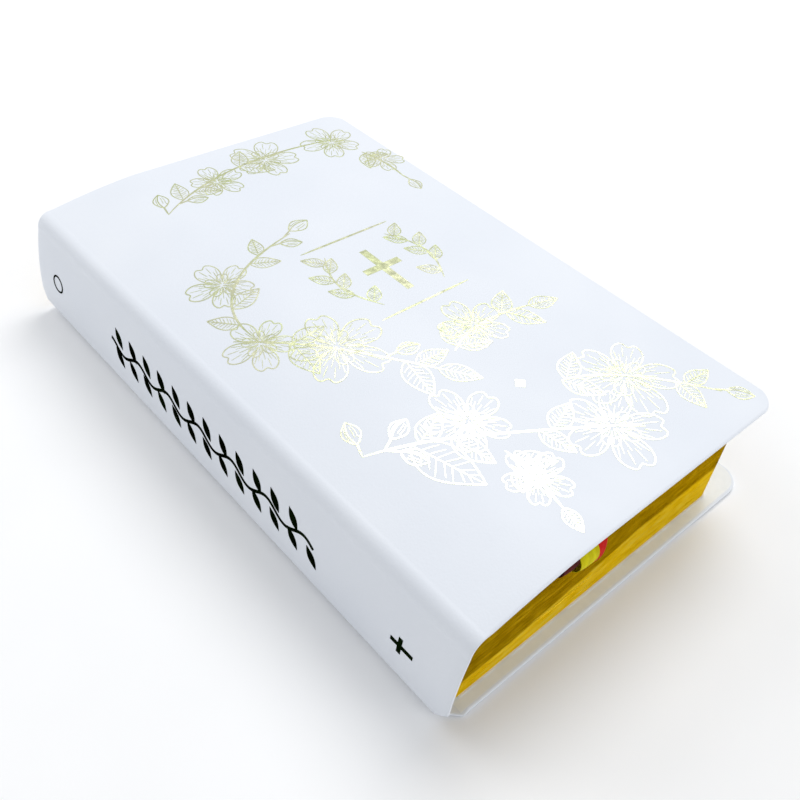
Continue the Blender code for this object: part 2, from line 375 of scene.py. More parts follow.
def gilt():
    """Gilded leaf edges with streaks and creases: painted brighter low down as a reflection of the back
    cover's lining, and painted darker above that as the shade of the front cover's overhang.
    """
    made = Nodes("gilt_edge", (0.76, 0.52, 0.03), 0.3, 1.0)
    streaks = made.noise(made.coordinates((9, 9, 3800)), 1.0, 4.0, 0.6)
    patches = made.noise(made.coordinates((55, 55, 230)), 1.0, 3.0)
    creases = made.noise(made.coordinates((160, 160, 420)), 1.0, 3.0)
    x, _, z = made.position()
    wander = made.calculate("MULTIPLY_ADD", patches, 2.6 * MM, z)
    rise = made.remap(x, LEFT + 30 * MM, LEFT + 85 * MM, 0.0, PAINTED_SHADE_RISE)
    level = made.calculate("SUBTRACT", wander, rise)
    # Painted shade: one above the wandering line, where the gilding is painted darker as the overhang's
    # shade
    painted_shade_share = made.remap(level, PAINTED_SHADE_LINE + 0.6 * MM, PAINTED_SHADE_LINE + 2.2 * MM, 0.0, 1.0)
    tone = made.calculate("MULTIPLY_ADD", streaks, 0.7, made.calculate("MULTIPLY", creases, 0.3))
    # Painted light: a lit and a shaded copy of the gold, mixed by the painted shade share
    painted_lit_gilt = made.ramp(tone, ((0.36, (0.72, 0.46, 0.003)), (0.5, (1.0, 0.70, 0.01)),
                              (0.64, (1.0, 0.86, 0.16))))
    painted_shaded_gilt = made.ramp(tone, ((0.36, (0.22, 0.13, 0.001)), (0.5, (0.42, 0.27, 0.001)),
                            (0.66, (0.74, 0.50, 0.02))))
    made.color(made.mix(painted_shade_share, painted_lit_gilt, painted_shaded_gilt))
    made.rough(made.remap(patches, 0.3, 0.7, 0.24, 0.4))
    made.shader.inputs["Specular Tint"].default_value = (0.85, 0.55, 0.03, 1.0)
    ridges = made.bump(streaks, 0.3, 0.0002)
    made.bump(creases, 0.3, 0.0005, ridges)
    return made.material


def bible_paper():
    """Thin cream paper with two columns of faint broken grey lines, as print seen from afar."""
    made = Nodes("bible_paper", (0.90, 0.88, 0.80), 0.85)
    inner = LEFT + 17 * MM
    outer = LEFT + 122 * MM
    gutter = (inner + outer) / 2
    margin = 12 * MM
    pitch = 4.2 * MM
    x, y, _ = made.position()
    left_column = made.inside(x, inner, gutter - 2.5 * MM)
    right_column = made.inside(x, gutter + 2.5 * MM, outer)
    columns = made.calculate("ADD", left_column, right_column)
    page = made.calculate("MULTIPLY", columns, made.inside(y, PAGE_TAIL + margin, PAGE_HEAD - margin))
    wave = made.calculate("SINE", made.calculate("MULTIPLY", y, 2 * math.pi / pitch))
    rows = made.inside(wave, 0.1, 2.0)
    strokes = made.inside(made.noise(made.coordinates((620, 240, 1)), 1.0, 1.0), 0.46, 1.0)
    ink = made.calculate("MULTIPLY", made.calculate("MULTIPLY", page, rows), strokes)
    fibres = made.ramp(made.noise(made.coordinates((300, 300, 300)), 1.0, 4.0),
                       ((0.35, (0.86, 0.84, 0.75)), (0.65, (0.92, 0.90, 0.83))))
    print_grey = (0.16, 0.15, 0.14, 1.0)
    made.color(made.mix(made.remap(ink, 0.0, 1.0, 0.0, 0.62), fibres, print_grey))
    made.bump(made.noise(made.coordinates((900, 900, 900)), 1.0, 3.0), 0.1, 0.0002)
    return made.material


def paper(name, light, dark, grain):
    """Plain stock: paper or card, with fibres and a slow change of tone."""
    made = Nodes(name, light, 0.85)
    tone = made.noise(made.coordinates((grain, grain, grain)), 1.0, 5.0, 0.6)
    made.color(made.ramp(tone, ((0.35, dark), (0.65, light))))
    made.bump(tone, 0.15, 0.0002)
    return made.material


def woven(name, light, dark, threads):
    """Cloth: ridges across y crossed by ridges across z."""
    made = Nodes(name, light, 0.8)
    weave = made.calculate("MULTIPLY", made.ridges("Y", threads, 0.6), made.ridges("Z", threads, 0.0))
    made.color(made.ramp(weave, ((0.1, dark), (0.6, light))))
    made.bump(weave, 0.3, 0.0001)
    made.shader.inputs["Sheen Weight"].default_value = 0.3
    return made.material


def satin(name, light, dark):
    """Woven satin ribbon: fine ribs across it and a soft gloss."""
    made = Nodes(name, light, 0.6)
    tone = made.noise(made.coordinates((500, 60, 60)), 1.0, 2.0)
    made.color(made.ramp(tone, ((0.35, dark), (0.65, light))))
    made.bump(made.ridges("X", 900.0, 0.4), 0.2, 0.00008)
    made.shader.inputs["Specular IOR Level"].default_value = 0.06
    return made.material


def foil(name, light, dark, roughness):
    """Hot-stamped metal foil, a little uneven where the press was lighter."""
    made = Nodes(name, light, roughness, 1.0)
    made.shader.inputs["Specular Tint"].default_value = (*light, 1.0)
    vector = made.coordinates((1, 1, 1))
    made.color(made.ramp(made.noise(vector, 60.0, 3.0), ((0.35, dark), (0.65, light))))
    uneven = made.noise(vector, 400.0, 3.0)
    made.rough(made.remap(uneven, 0.3, 0.7, roughness - 0.06, roughness + 0.1))
    made.bump(made.noise(vector, 1200.0, 2.0), 0.15, 0.0001)
    return made.material


# ---- cover ------------------------------------------------------------------------------------

def corner_cut(x, z):
    """How far the skin draws in at the ends of the spine's bottom corner, as a slanted cut."""
    return CUT_Y * max(0.0, 1 - (x - LEFT) / CUT_X - z / CUT_Z) ** 1.15


def cover_depth(x):
    """Thickness of the cover: thin round the spine, full past the hinge."""
    away = min(1.0, max(0.0, (x - HINGE) / HINGE_REACH))
    return SPINE_DEPTH + (COVER - SPINE_DEPTH) * away * away * (3 - 2 * away)


def path_inward(index, path):
    """The direction into the book at one point of the cover's outer line."""
    x0, z0 = path[max(index - 1, 0)]
    x1, z1 = path[min(index + 1, len(path) - 1)]
    span = math.hypot(x1 - x0, z1 - z0)
    return Vector(((z0 - z1) / span, 0.0, (x1 - x0) / span))


def half_depth(x, edge_x):
    """Half the cover's thickness at x, rounded off at the fore-edge."""
    end = max(0.0, SKIN - (edge_x - x))
    if end > 0:
        return max(0.02 * MM, math.sqrt(max(0.0, SKIN * SKIN - end * end)))
    return cover_depth(x) / 2


def cover_ring(index, path):
    """One cross-section of the cover, as a loop of points: outside, head edge, inside, tail edge."""
    x, z = path[index]
    inward = path_inward(index, path)
    edge_x = FRONT_EDGE if index < len(path) / 2 else BACK_EDGE
    pull = arc_edge(x, edge_x, CORNER_RADIUS)
    cut = corner_cut(x, z)
    half = half_depth(x, edge_x)
    middle = Vector((x, 0.0, z)) + inward * cover_depth(x) / 2
    in_pocket = POCKET_START + 0.02 * MM < x < edge_x - RIM - 0.02 * MM
    pocket_edge = pull + cut + RIM
    if in_pocket:
        pocket_edge = RIM + arc_edge(x, edge_x - RIM, CORNER_RADIUS - RIM)
    tail_pull, head_pull = pull + cut, pull + HEAD_CUT * cut
    low, high = TAIL + tail_pull + half, HEAD - head_pull - half
    rim_low = TAIL + max(pocket_edge, tail_pull + half + 0.1 * MM)
    rim_high = HEAD - max(pocket_edge, head_pull + half + 0.1 * MM)

    def rounded(turn, y, way):
        return (middle - inward * half * math.cos(turn), y + way * half * math.sin(turn))

    inner = middle + inward * half
    raised = inner - inward * (COVER - SKIN) if in_pocket else inner
    turns = [math.pi * i / 8 for i in range(1, 8)]
    points = [(middle - inward * half, y) for y in spread(low, high, 60)]
    points += [rounded(turn, high, 1) for turn in turns]
    points += [(inner, high), (inner, rim_high)]
    points += [(raised, y) for y in spread(rim_high, rim_low, 12)]
    points += [(inner, rim_low), (inner, low)]
    points += [rounded(turn, low, -1) for turn in reversed(turns)]
    return [(point.x, y, point.z) for point, y in points]


def path_lengths(path):
    """How far along the cover's outer line each of its points lies."""
    out = [0.0]
    for (x0, z0), (x1, z1) in zip(path, path[1:]):
        out.append(out[-1] + math.hypot(x1 - x0, z1 - z0))
    return out


def cover_piece(name, path, lengths, first, last, finish):
    """One stretch of the cover, as a closed skin unrolled flat for its material."""
    rings = [cover_ring(i, path) for i in range(first, last + 1)]
    count = len(rings[0])
    verts = [point for ring in rings for point in ring]
    faces = []
    for i in range(len(rings) - 1):
        for j in range(count):
            k = (j + 1) % count
            faces.append((i * count + j, i * count + k, (i + 1) * count + k, (i + 1) * count + j))
    faces.append(tuple(range(count)))
    faces.append(tuple(reversed(range((len(rings) - 1) * count, len(rings) * count))))
    made = mesh_object(name, verts, faces, [finish])
    shape = bmesh.new()
    shape.from_mesh(made.data)
    bmesh.ops.recalc_face_normals(shape, faces=shape.faces)
    uv = shape.loops.layers.uv.new("UVMap")
    for face in shape.faces:
        face.smooth = True
        for loop in face.loops:
            ring, point = divmod(loop.vert.index, count)
            loop[uv].uv = (lengths[first + ring], loop.vert.co.y)
    shape.to_mesh(made.data)
    shape.free()
    made.data.set_sharp_from_angle(angle=math.radians(50))
    return made


def build_cover(finish):
    """The cover in three pieces that meet on the spine's face."""
    path = cover_path()
    lengths = path_lengths(path)
    on_face = [i for i, (x, _) in enumerate(path) if x < HINGE]
    high_seam = min(on_face, key=lambda i: abs(path[i][1] - SEAM_HIGH))
    low_seam = min(on_face, key=lambda i: abs(path[i][1] - SEAM_LOW))
    front = cover_piece("cover_front", path, lengths, 0, high_seam, finish)
    spine = cover_piece("cover_spine", path, lengths, high_seam, low_seam, finish)
    back = cover_piece("cover_back", path, lengths, low_seam, len(path) - 1, finish)
    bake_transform(front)
    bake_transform(spine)
    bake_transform(back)
    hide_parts("front_cover_skin", "spine_skin_front")
    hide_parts("back_cover_skin", "spine_skin_rear")


# ---- linings and flyleaves --------------------------------------------------------------------

def sheet_mesh(x0, edge_x, tail, head, radius, height, thick):
    """Verts and faces of a closed thin sheet with round corners; height(x, y) is its lower face."""
    xs = spread(x0, edge_x - radius, 60)
    xs += [edge_x - radius * (1 - math.sin(math.pi / 2 * i / 8)) for i in range(1, 9)]
    rows = 49
    low, high = [], []
    for x in xs:
        pull = arc_edge(x, edge_x, radius)
        for y in spread(tail + pull, head - pull, rows - 1):
            z = height(x, y)
            low.append((x, y, z))
            high.append((x, y, z + thick))
    faces = []
    total = len(low)
    for i in range(len(xs) - 1):
        for j in range(rows - 1):
            a, b = i * rows + j, (i + 1) * rows + j
            faces.append((a, a + 1, b + 1, b))
            faces.append((total + a, total + b, total + b + 1, total + a + 1))
        for j in (0, rows - 1):
            a, b = i * rows + j, (i + 1) * rows + j
            side = (a, b, total + b, total + a)
            faces.append(side if j == 0 else side[::-1])
    for start in (0, (len(xs) - 1) * rows):
        for j in range(start, start + rows - 1):
            side = (j, total + j, total + j + 1, j + 1)
            faces.append(side if start == 0 else side[::-1])
    return low + high, faces


def build_linings(finish):
    """The lining of each cover, pasted down over the turned-in rim."""
    radius = CORNER_RADIUS - LINING_INSET
    face = LINING_RISE - LINING_THICK
    sides = (("back", BACK_EDGE, lambda x, y: cover_depth(x) + face),
             ("front", FRONT_EDGE, lambda x, y: front_z(x) - cover_depth(x) - LINING_RISE))
    for side, edge_x, height in sides:
        verts, faces = sheet_mesh(HINGE + 0.1 * MM, edge_x - LINING_INSET, TAIL + LINING_INSET,
                                  HEAD - LINING_INSET, radius, height, LINING_THICK)
        made = mesh_object(f"lining_{side}", verts, faces, [finish], 40)
        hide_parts(f"{side}_pastedown")
        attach(made, f"{side}_cover")


def flyleaf_rise(x, y, turn):
    """The waves of a flyleaf's free edge, where it stands out past the leaves."""
    free = min(1.0, max(0.0, (PAGE_TAIL + 0.1 * MM - y) / FLYLEAF_PROUD))
    wave = math.sin(x * 210 + turn) + 0.6 * math.sin(x * 527 + 2 * turn) + 1.6
    return FLYLEAF_WAVE * free * wave / 3.2


def build_flyleaves(finish):
    """Two thin loose leaves inside each cover, as one piece for each side."""
    for side, sign in (("back", 1), ("front", -1)):
        edge_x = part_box(f"{side}_flyleaf")[1].x + FLYLEAF_PROUD * 0.6
        verts, faces = [], []
        for leaf_index in range(2):
            low = FLYLEAF_LOW + leaf_index * (FLYLEAF_THICK + FLYLEAF_GAP)

            def height(x, y, low=low, turn=leaf_index * 1.9, sign=sign):
                lift = low + flyleaf_rise(x, y, turn)
                return lift if sign > 0 else front_z(x) - lift - FLYLEAF_THICK

            more, more_faces = sheet_mesh(LEFT + FLYLEAF_START, edge_x, PAGE_TAIL - FLYLEAF_PROUD,
                                          PAGE_HEAD, PAGE_CORNER, height, FLYLEAF_THICK)
            faces += [tuple(len(verts) + i for i in face) for face in more_faces]
            verts += more
        made = mesh_object(f"endleaves_{side}", verts, faces, [finish], 40)
        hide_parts(f"{side}_flyleaf")
        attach(made, f"{side}_flyleaf")


# ---- text block -------------------------------------------------------------------------------

def block_top(x):
    """Height of the highest leaf at x."""
    return front_z(max(x, HINGE)) - BLOCK_BOTTOM


def section_bounds(index, x):
    """Bottom and top of a section at x. Next to a marker's slot, the leaves sag into it a little."""
    paper_height = block_top(x) - BLOCK_BOTTOM - RIBBON_SLOT * len(RIBBON_SECTIONS)
    under = sum(1 for place in RIBBON_SECTIONS if place < index)
    low = BLOCK_BOTTOM + paper_height * index / SECTION_COUNT + RIBBON_SLOT * under
    high = low + paper_height / SECTION_COUNT - LEAF_GAP
    low -= SLOT_FILL if index - 1 in RIBBON_SECTIONS else 0.0
    high += SLOT_FILL if index in RIBBON_SECTIONS else 0.0
    return low, high


def nose_x(z):
    """Where a section's fold lies: the block's back, with rounded shoulders."""
    low_reach = HINGE - face_x(LOW_CORNER) - BACK_DEPTH
    high_reach = HINGE - LEFT - LEAN - BACK_DEPTH
    if z < LOW_CORNER:
        share = (LOW_CORNER - z) / (LOW_CORNER - SHOULDER)
        return HINGE - low_reach * math.sqrt(max(0.0, 1 - share * share))
    if z > HIGH_CORNER:
        share = (z - HIGH_CORNER) / (HINGE_TOP - SHOULDER - HIGH_CORNER)
        return HINGE - high_reach * math.sqrt(max(0.0, 1 - share * share))
    return face_x(z) + BACK_DEPTH


def section_levels(rng):
    """Heights within a section, as shares, with how far the leaves stand in at each."""
    levels = [(0.0, RIDGE_DEPTH)]
    for i in range(LEAF_RIDGES):
        out = rng.uniform(0.0, RIDGE_DEPTH * 0.7)
        levels.append(((i + 0.25) / LEAF_RIDGES, out))
        levels.append(((i + 0.75) / LEAF_RIDGES, out))
        levels.append(((i + 1) / LEAF_RIDGES, RIDGE_DEPTH + out * 0.5))
    return levels


def section_outline(index, share, inset, nose, fore):
    """One level of a section as a loop of points: its tail edge outwards, then its head edge back."""
    edge = fore - inset
    start = nose + 0.35 * MM * (2 * share - 1) ** 2
    xs = [start] + spread(HINGE + 2 * MM, HUMP_END, 12)
    xs += spread(HUMP_END + 8 * MM, edge - PAGE_CORNER, 8)
    xs += [edge - PAGE_CORNER * (1 - math.sin(math.pi / 2 * i / 8)) for i in range(1, 9)]
    tail, head = [], []
    for x in xs:
        bottom, top = section_bounds(index, x)
        z = bottom + (top - bottom) * share
        pull = arc_edge(x, edge, PAGE_CORNER) + inset
        tail.append((x, PAGE_TAIL + pull, z))
        head.append((x, PAGE_HEAD - pull, z))
    return tail + head[::-1]


def section_piece(index, rng, gold, page):
    """One section: gilded at the head, fore-edge and tail, plain on its faces and at the fold."""
    low, high = section_bounds(index, HINGE)
    nose = max(nose_x(low), nose_x(high)) + 0.05 * MM
    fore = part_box(f"section_{index + 1:02d}")[1].x
    rings = [section_outline(index, share, inset, nose, fore) for share, inset in section_levels(rng)]
    count = len(rings[0])
    verts = [point for ring in rings for point in ring]
    faces, plain = [], set()
    for i in range(len(rings) - 1):
        for j in range(count):
            k = (j + 1) % count
            if k == 0:
                plain.add(len(faces))
            faces.append((i * count + j, i * count + k, (i + 1) * count + k, (i + 1) * count + j))
    gilded = len(faces)
    top = (len(rings) - 1) * count
    for j in range(count // 2 - 1):
        far = count - 1 - j
        faces.append((j, far, far - 1, j + 1))
        faces.append((top + j, top + j + 1, top + far - 1, top + far))
    made = mesh_object(f"leaves_{index + 1:02d}", verts, faces, [gold, page])
    for face in made.data.polygons:
        face.material_index = 1 if face.index >= gilded or face.index in plain else 0
    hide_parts(f"section_{index + 1:02d}")
    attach(made, "rear_block" if index < SECTION_COUNT // 2 else "front_block")


def build_block(gold, page):
    rng = random.Random(7)
    for index in range(SECTION_COUNT):
        section_piece(index, rng, gold, page)


# ---- ribbon markers ---------------------------------------------------------------------------

def ribbon_rows(low, high, share_out, slant):
    """Rows of points across a marker's end, from the pages out, down and back to them."""
    reach = (high.y - low.y - 2.3 * RIBBON_HALF) * share_out
    drop = (high.z - low.z - 2.3 * RIBBON_HALF) * share_out
    rows = []
    for turn in spread(0, math.pi, 32):
        y = high.y - 0.1 * MM - reach * math.sin(turn)
        z = high.z - RIBBON_HALF - drop * (1 - math.cos(turn)) / 2
        out = Vector((0.0, -math.sin(turn + 0.2), math.cos(turn + 0.2)))
        row = []
        for share in spread(0, 1, 12):
            crown = 0.18 * MM * math.sin(math.pi * share) * math.sin(turn)
            hang = Vector((0.0, 0.0, -slant * share * (1 - math.cos(turn)) / 2))
            row.append(Vector((low.x + (high.x - low.x) * share, y, z)) + out * crown + hang)
        rows.append(row)
    return rows


def strip_mesh(rows):
    """Verts and faces of a closed thin strip through rows of points."""
    count = len(rows[0])
    verts, faces = [], []
    for i, row in enumerate(rows):
        before, after = rows[max(i - 1, 0)], rows[min(i + 1, len(rows) - 1)]
        for side in (RIBBON_HALF, -RIBBON_HALF):
            for j, point in enumerate(row):
                normal = (after[j] - before[j]).normalized().cross(Vector((1, 0, 0)))
                verts.append(tuple(point + normal * side))
    width = 2 * count
    order = list(range(count)) + list(reversed(range(count, width)))
    for i in range(len(rows) - 1):
        for a, b in zip(order, order[1:] + order[:1]):
            faces.append((i * width + a, i * width + b, (i + 1) * width + b, (i + 1) * width + a))
    faces.append(tuple(order))
    faces.append(tuple((len(rows) - 1) * width + a for a in reversed(order)))
    return verts, faces


def ribbon_tail(color, share_out, slant, finish):
    """The marker's end, curling out of the pages and back, with its fore-edge side hanging lower."""
    node = f"ribbon_{color}_tail"
    verts, faces = strip_mesh(ribbon_rows(*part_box(node), share_out, slant))
    made = mesh_object(f"marker_{color}_tail", verts, faces, [finish], 50)
    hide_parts(node)
    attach(made, f"{color}_tail")


# ---- foil line work ---------------------------------------------------------------------------

class LineWork:
    """Collects flat raised strokes on a surface and makes one mesh of them."""

    def __init__(self, surface):
        self.surface = surface
        self.verts = []
        self.faces = []
        self.count = 0

    def rise(self):
        """The next shape's height, a touch off its neighbours', so that crossings don't coincide."""
        self.count += 1
        return FOIL_RISE + FOIL_STEP * (self.count * 37 % FOIL_LEVELS)

    def stroke(self, points, width, taper=True):
        """One stroke through flat (u, v) points, as a thin raised strip; its ends may taper."""
        start = len(self.verts)
        last = len(points) - 1
        top = self.rise()
        for i, (u, v) in enumerate(points):
            u0, v0 = points[max(i - 1, 0)]
            u1, v1 = points[min(i + 1, last)]
            span = math.hypot(u1 - u0, v1 - v0) or 1.0
            share = 4 * (i / last) * (1 - i / last) if taper else 1.0
            half = width / 2 * (0.35 + 0.65 * min(1.0, share * 1.6))
            du, dv = -(v1 - v0) / span * half, (u1 - u0) / span * half
            for side, rise in ((1, -top), (1, top), (-1, top), (-1, -top)):
                self.verts.append(self.surface(u + side * du, v + side * dv, rise))
        for i in range(last):
            for j in range(4):
                a = start + i * 4 + j
                b = start + i * 4 + (j + 1) % 4
                self.faces.append((a, b, b + 4, a + 4))
        self.faces.append(tuple(start + j for j in reversed(range(4))))
        self.faces.append(tuple(start + last * 4 + j for j in range(4)))

    def patch(self, points):
        """A filled flat shape, as a thin raised plate."""
        start = len(self.verts)
        count = len(points)
        top = self.rise()
        for rise in (-top, top):
            self.verts += [self.surface(u, v, rise) for u, v in points]
        self.faces.append(tuple(start + i for i in reversed(range(count))))
        self.faces.append(tuple(start + count + i for i in range(count)))
        for i in range(count):
            j = (i + 1) % count
            self.faces.append((start + i, start + j, start + count + j, start + count + i))

    def make(self, name, finish):
        made = mesh_object(name, self.verts, self.faces, [finish])
        shape = bmesh.new()
        shape.from_mesh(made.data)
        bmesh.ops.recalc_face_normals(shape, faces=shape.faces)
        shape.to_mesh(made.data)
        shape.free()
        return made


def on_front(u, v, rise):
    return (u, v, front_z(u) + rise)


def on_spine(u, v, rise):
    """u runs along the spine from tail to head, v up it."""
    return (face_x(v) - rise, u, v)


def turned(points, centre, angle):
    """Flat points turned by an angle and moved to a centre."""
    c, s = math.cos(angle), math.sin(angle)
    return [(centre[0] + u * c - v * s, centre[1] + u * s + v * c) for u, v in points]


def petal_reach(turn):
    """How far a petal's rim is from the flower's centre, as a share, at an angle off its axis."""
    notch = 0.13 * math.exp(-(turn / 0.10) ** 2)
    return max(0.15, math.cos(turn * PETALS / 2) ** 0.38 - notch)


def petals_ring(work, centre, size, turn, width):
    """One ring of broad notched petals with fine hatching from their bases and rims."""
    span = math.pi / PETALS
    for k in range(PETALS):
        angle = turn + 2 * span * k
        long = size * (1 + 0.09 * math.sin(5 * k + 9 * turn))
        rim = []
        for a in spread(-span, span, 26):
            reach = long * petal_reach(a)
            rim.append((reach * math.cos(a), reach * math.sin(a)))
        work.stroke(turned(rim, centre, angle), width, taper=False)
        for i, a in enumerate(spread(-0.62 * span, 0.62 * span, 6)):
            reach = long * petal_reach(a)
            ends = (0.30, 0.62 + 0.06 * (i % 2)) if i % 2 else (0.58, 0.9)
            line = [(reach * r * math.cos(a), reach * r * math.sin(a)) for r in spread(*ends, 4)]
            work.stroke(turned(line, centre, angle), width * 0.5)


def blossom(work, centre, size, turn):
    """An open flower: a ring of petals, a smaller ring in it unless it's small, and stamens."""
    petals_ring(work, centre, size, turn, FOIL_LINE)
    if size > SINGLE_BLOSSOM:
        petals_ring(work, centre, size * 0.5, turn + math.pi / PETALS, FOIL_LINE * 0.8)
    for k in range(8):
        angle = turn + 0.3 + 2 * math.pi * k / 8
        line = [(size * r, 0.0) for r in spread(0.07, 0.17, 3)]
        work.stroke(turned(line, centre, angle), FOIL_LINE * 0.6)
        dot = [(size * 0.2 + 0.3 * MM * math.cos(a), 0.3 * MM * math.sin(a)) for a in spread(0, 5.5, 6)]
        work.patch(turned(dot, centre, angle))


def leaf(work, base, length, angle):
    """A pointed leaf: two bowed sides, a midrib and slanted veins."""
    broad = length * 0.27
    for side in (1, -1):
        line = [(length * t, side * broad * math.sin(math.pi * t ** 0.8)) for t in spread(0, 1, 18)]
        work.stroke(turned(line, base, angle), FOIL_LINE, taper=False)
    midrib = [(length * t, 0.0) for t in spread(0, 0.96, 8)]
    work.stroke(turned(midrib, base, angle), FOIL_LINE * 0.9)
    for i, t in enumerate(spread(0.14, 0.76, 6)):
        for side in (1, -1):
            reach = (0.86 - 0.16 * (i % 2)) * broad * math.sin(math.pi * (t + 0.1) ** 0.8)
            vein = [(length * (t + 0.13 * r), side * reach * r) for r in spread(0, 1, 4)]
            work.stroke(turned(vein, base, angle), FOIL_LINE * 0.55)


def bud(work, base, length, angle):
    """A closed flower bud in its cup, with a few lines along it."""
    for side, bow in ((1, 0.32), (-1, 0.32), (1, 0.12)):
        line = [(length * t, side * bow * length * math.sin(math.pi * t)) for t in spread(0, 1, 12)]
        work.stroke(turned(line, base, angle), FOIL_LINE, taper=False)
    for lift in (-0.16, -0.05, 0.2):
        line = [(length * t, lift * length * math.sin(math.pi * t)) for t in spread(0.3, 0.78, 5)]
        work.stroke(turned(line, base, angle), FOIL_LINE * 0.5)
    for side in (1, -1):
        cup = [(length * 0.34 * t, side * 0.2 * length * math.sin(2.2 * t)) for t in spread(0, 1, 6)]
        work.stroke(turned(cup, base, angle), FOIL_LINE)


def stem_points(start, middle, end, count):
    """A smooth curve from start to end that leans towards middle."""
    out = []
    for t in spread(0, 1, count):
        a, b, c = (1 - t) ** 2, 2 * t * (1 - t), t * t
        out.append(tuple(a * u + b * v + c * w for u, v, w in zip(start, middle, end)))
    return out


def spray(work, start, middle, end, flowers, leaves, buds):
    """A stem with blossoms, leaves and buds set along it by share, side and size."""
    points = stem_points(start, middle, end, STEM_STEPS)
    work.stroke(points, 2 * FOIL_LINE)

    def at(share):
        i = min(int(share * STEM_STEPS), STEM_STEPS - 1)
        (u0, v0), (u1, v1) = points[i], points[i + 1]
        return points[i], math.atan2(v1 - v0, u1 - u0)

    for share, side, size in leaves:
        base, angle = at(share)
        leaf(work, base, size * MM, angle + side * 0.85)
    for share, side, size in buds:
        base, angle = at(share)
        tip = turned([(size * 0.5 * MM, size * 0.12 * MM)], base, angle + side * 0.6)[0]
        work.stroke(stem_points(base, tip, tip, 6), STALK)
        bud(work, tip, size * MM, angle + side * 0.75)
    for share, offset, size, turn in flowers:
        base, angle = at(share)
        centre = turned([(0.0, offset * MM)], base, angle)[0]
        if offset:
            work.stroke(stem_points(base, base, centre, 6), STALK)
        blossom(work, centre, size * MM, turn)


def front_point(from_spine, from_tail):
    """A place on the front cover, from millimetres off its spine and tail edges."""
    return (LEFT + from_spine * MM, TAIL + from_tail * MM)


def front_foil(finish):
    """Generic flower sprays at the head, across the middle and over the tail corner."""
    work = LineWork(on_front)
    spray(work, front_point(39, 194), front_point(76, 217), front_point(128, 206),
          [(0.36, -2, 11, 0.2), (0.66, -2, 14, 0.9), (0.97, -2, 13, 0.4)],
          [(0.16, 1, 12), (0.22, -1, 10), (0.5, 1, 12), (0.52, -1, 14)],
          [(0.02, 1, 9), (0.12, -1, 8)])
    spray(work, front_point(129, 192), front_point(133, 182), front_point(131, 168),
          [(0.45, 1, 9, 0.7)], [(0.1, -1, 12), (0.2, 1, 8)], [(0.97, 0, 8)])
    spray(work, front_point(25, 122), front_point(22, 150), front_point(68, 160),
          [(0.5, 4, 12, 0.4)], [(0.14, 1, 11), (0.3, -1, 13), (0.74, -1, 11), (0.8, 1, 10)],
          [(0.88, -1, 8), (0.98, 0, 10)])
    spray(work, front_point(19, 124), front_point(38, 108), front_point(64, 72),
          [(0.18, -0.5, 12, 0.5), (0.56, 1, 17, 0.1)],
          [(0.36, 1, 13), (0.36, -1, 16), (0.84, -1, 17), (0.88, 1, 13), (0.98, 0, 14)],
          [(0.78, 1, 9)])
    spray(work, front_point(72, 78), front_point(88, 87), front_point(112, 80),
          [(0.42, 1, 13, 0.3)],
          [(0.1, -1, 12), (0.1, 1, 12), (0.72, 1, 13), (0.76, -1, 14), (0.98, 0, 12)],
          [])
    spray(work, front_point(20, 62), front_point(42, 54), front_point(96, 20),
          [(0.54, 6, 14, 0.3), (0.95, 0, 17, 0.6)],
          [(0.26, -1, 25), (0.3, 1, 14), (0.42, -1, 15), (0.72, -1, 13), (0.76, 1, 14)],
          [(0.01, 2.2, 9), (0.13, 1, 9), (0.16, -1, 9)])
    spray(work, front_point(53, 38), front_point(54, 30), front_point(50, 12),
          [(0.62, 0, 11, 0.2)], [(0.24, 1, 12), (0.98, 0, 9)], [(0.2, -1, 9)])
    spray(work, front_point(90, 48), front_point(108, 44), front_point(129, 14),
          [(0.5, 0, 18, 0.6)], [(0.04, -1, 14), (0.08, 1, 14), (0.86, 1, 12), (0.82, -1, 13)],
          [(0.99, 0, 9)])
    emblem(work)
    made = work.make("foil_front", finish)
    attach(made, "front_cover")


def cross_outline(arm, foot, head, half):
    """A plain upright cross about its own crossing, as one closed outline."""
    side = [(half, -foot), (half, -half), (arm, -half), (arm, half), (half, half), (half, head)]
    return side + [(-u, v) for u, v in reversed(side)]


def emblem(work):
    """A plain cross between two curved sprigs and two rules, and a small lozenge below them."""
    centre = front_point(83, 126)
    cx, cy = centre
    work.patch(turned(cross_outline(8 * MM, 15 * MM, 11 * MM, 1.5 * MM), centre, 0.0))
    steps = 20
    for side in (1, -1):
        arc = [(cx + side * (14 + 6 * math.sin(math.pi * t)) * MM, cy + (32 * t - 17) * MM)
               for t in spread(0, 1, steps)]
        work.stroke(arc, STALK)
        for i, t in enumerate(spread(0.12, 0.92, 5)):
            lean = math.pi / 2 - side * 0.75 * (1 if i % 2 else -1)
            leaf(work, arc[round(t * steps)], 9 * MM, lean)
    for rise in (-23, 21):
        work.stroke([(cx + d * MM, cy + rise * MM) for d in spread(-20, 20, 10)], 2 * FOIL_LINE)
    reach = 2.2 * MM
    lozenge = [(-reach, 0.0), (0.0, -reach), (reach, 0.0), (0.0, reach)]
    work.patch(turned(lozenge, front_point(78, 55), 0.0))


def blade_outline(length, half):
    """A filled pointed leaf along u, as one closed outline."""
    sides = [(length * t, half * math.sin(math.pi * t)) for t in spread(0, 1, 9)]
    return sides + [(u, -v) for u, v in reversed(sides[1:-1])]


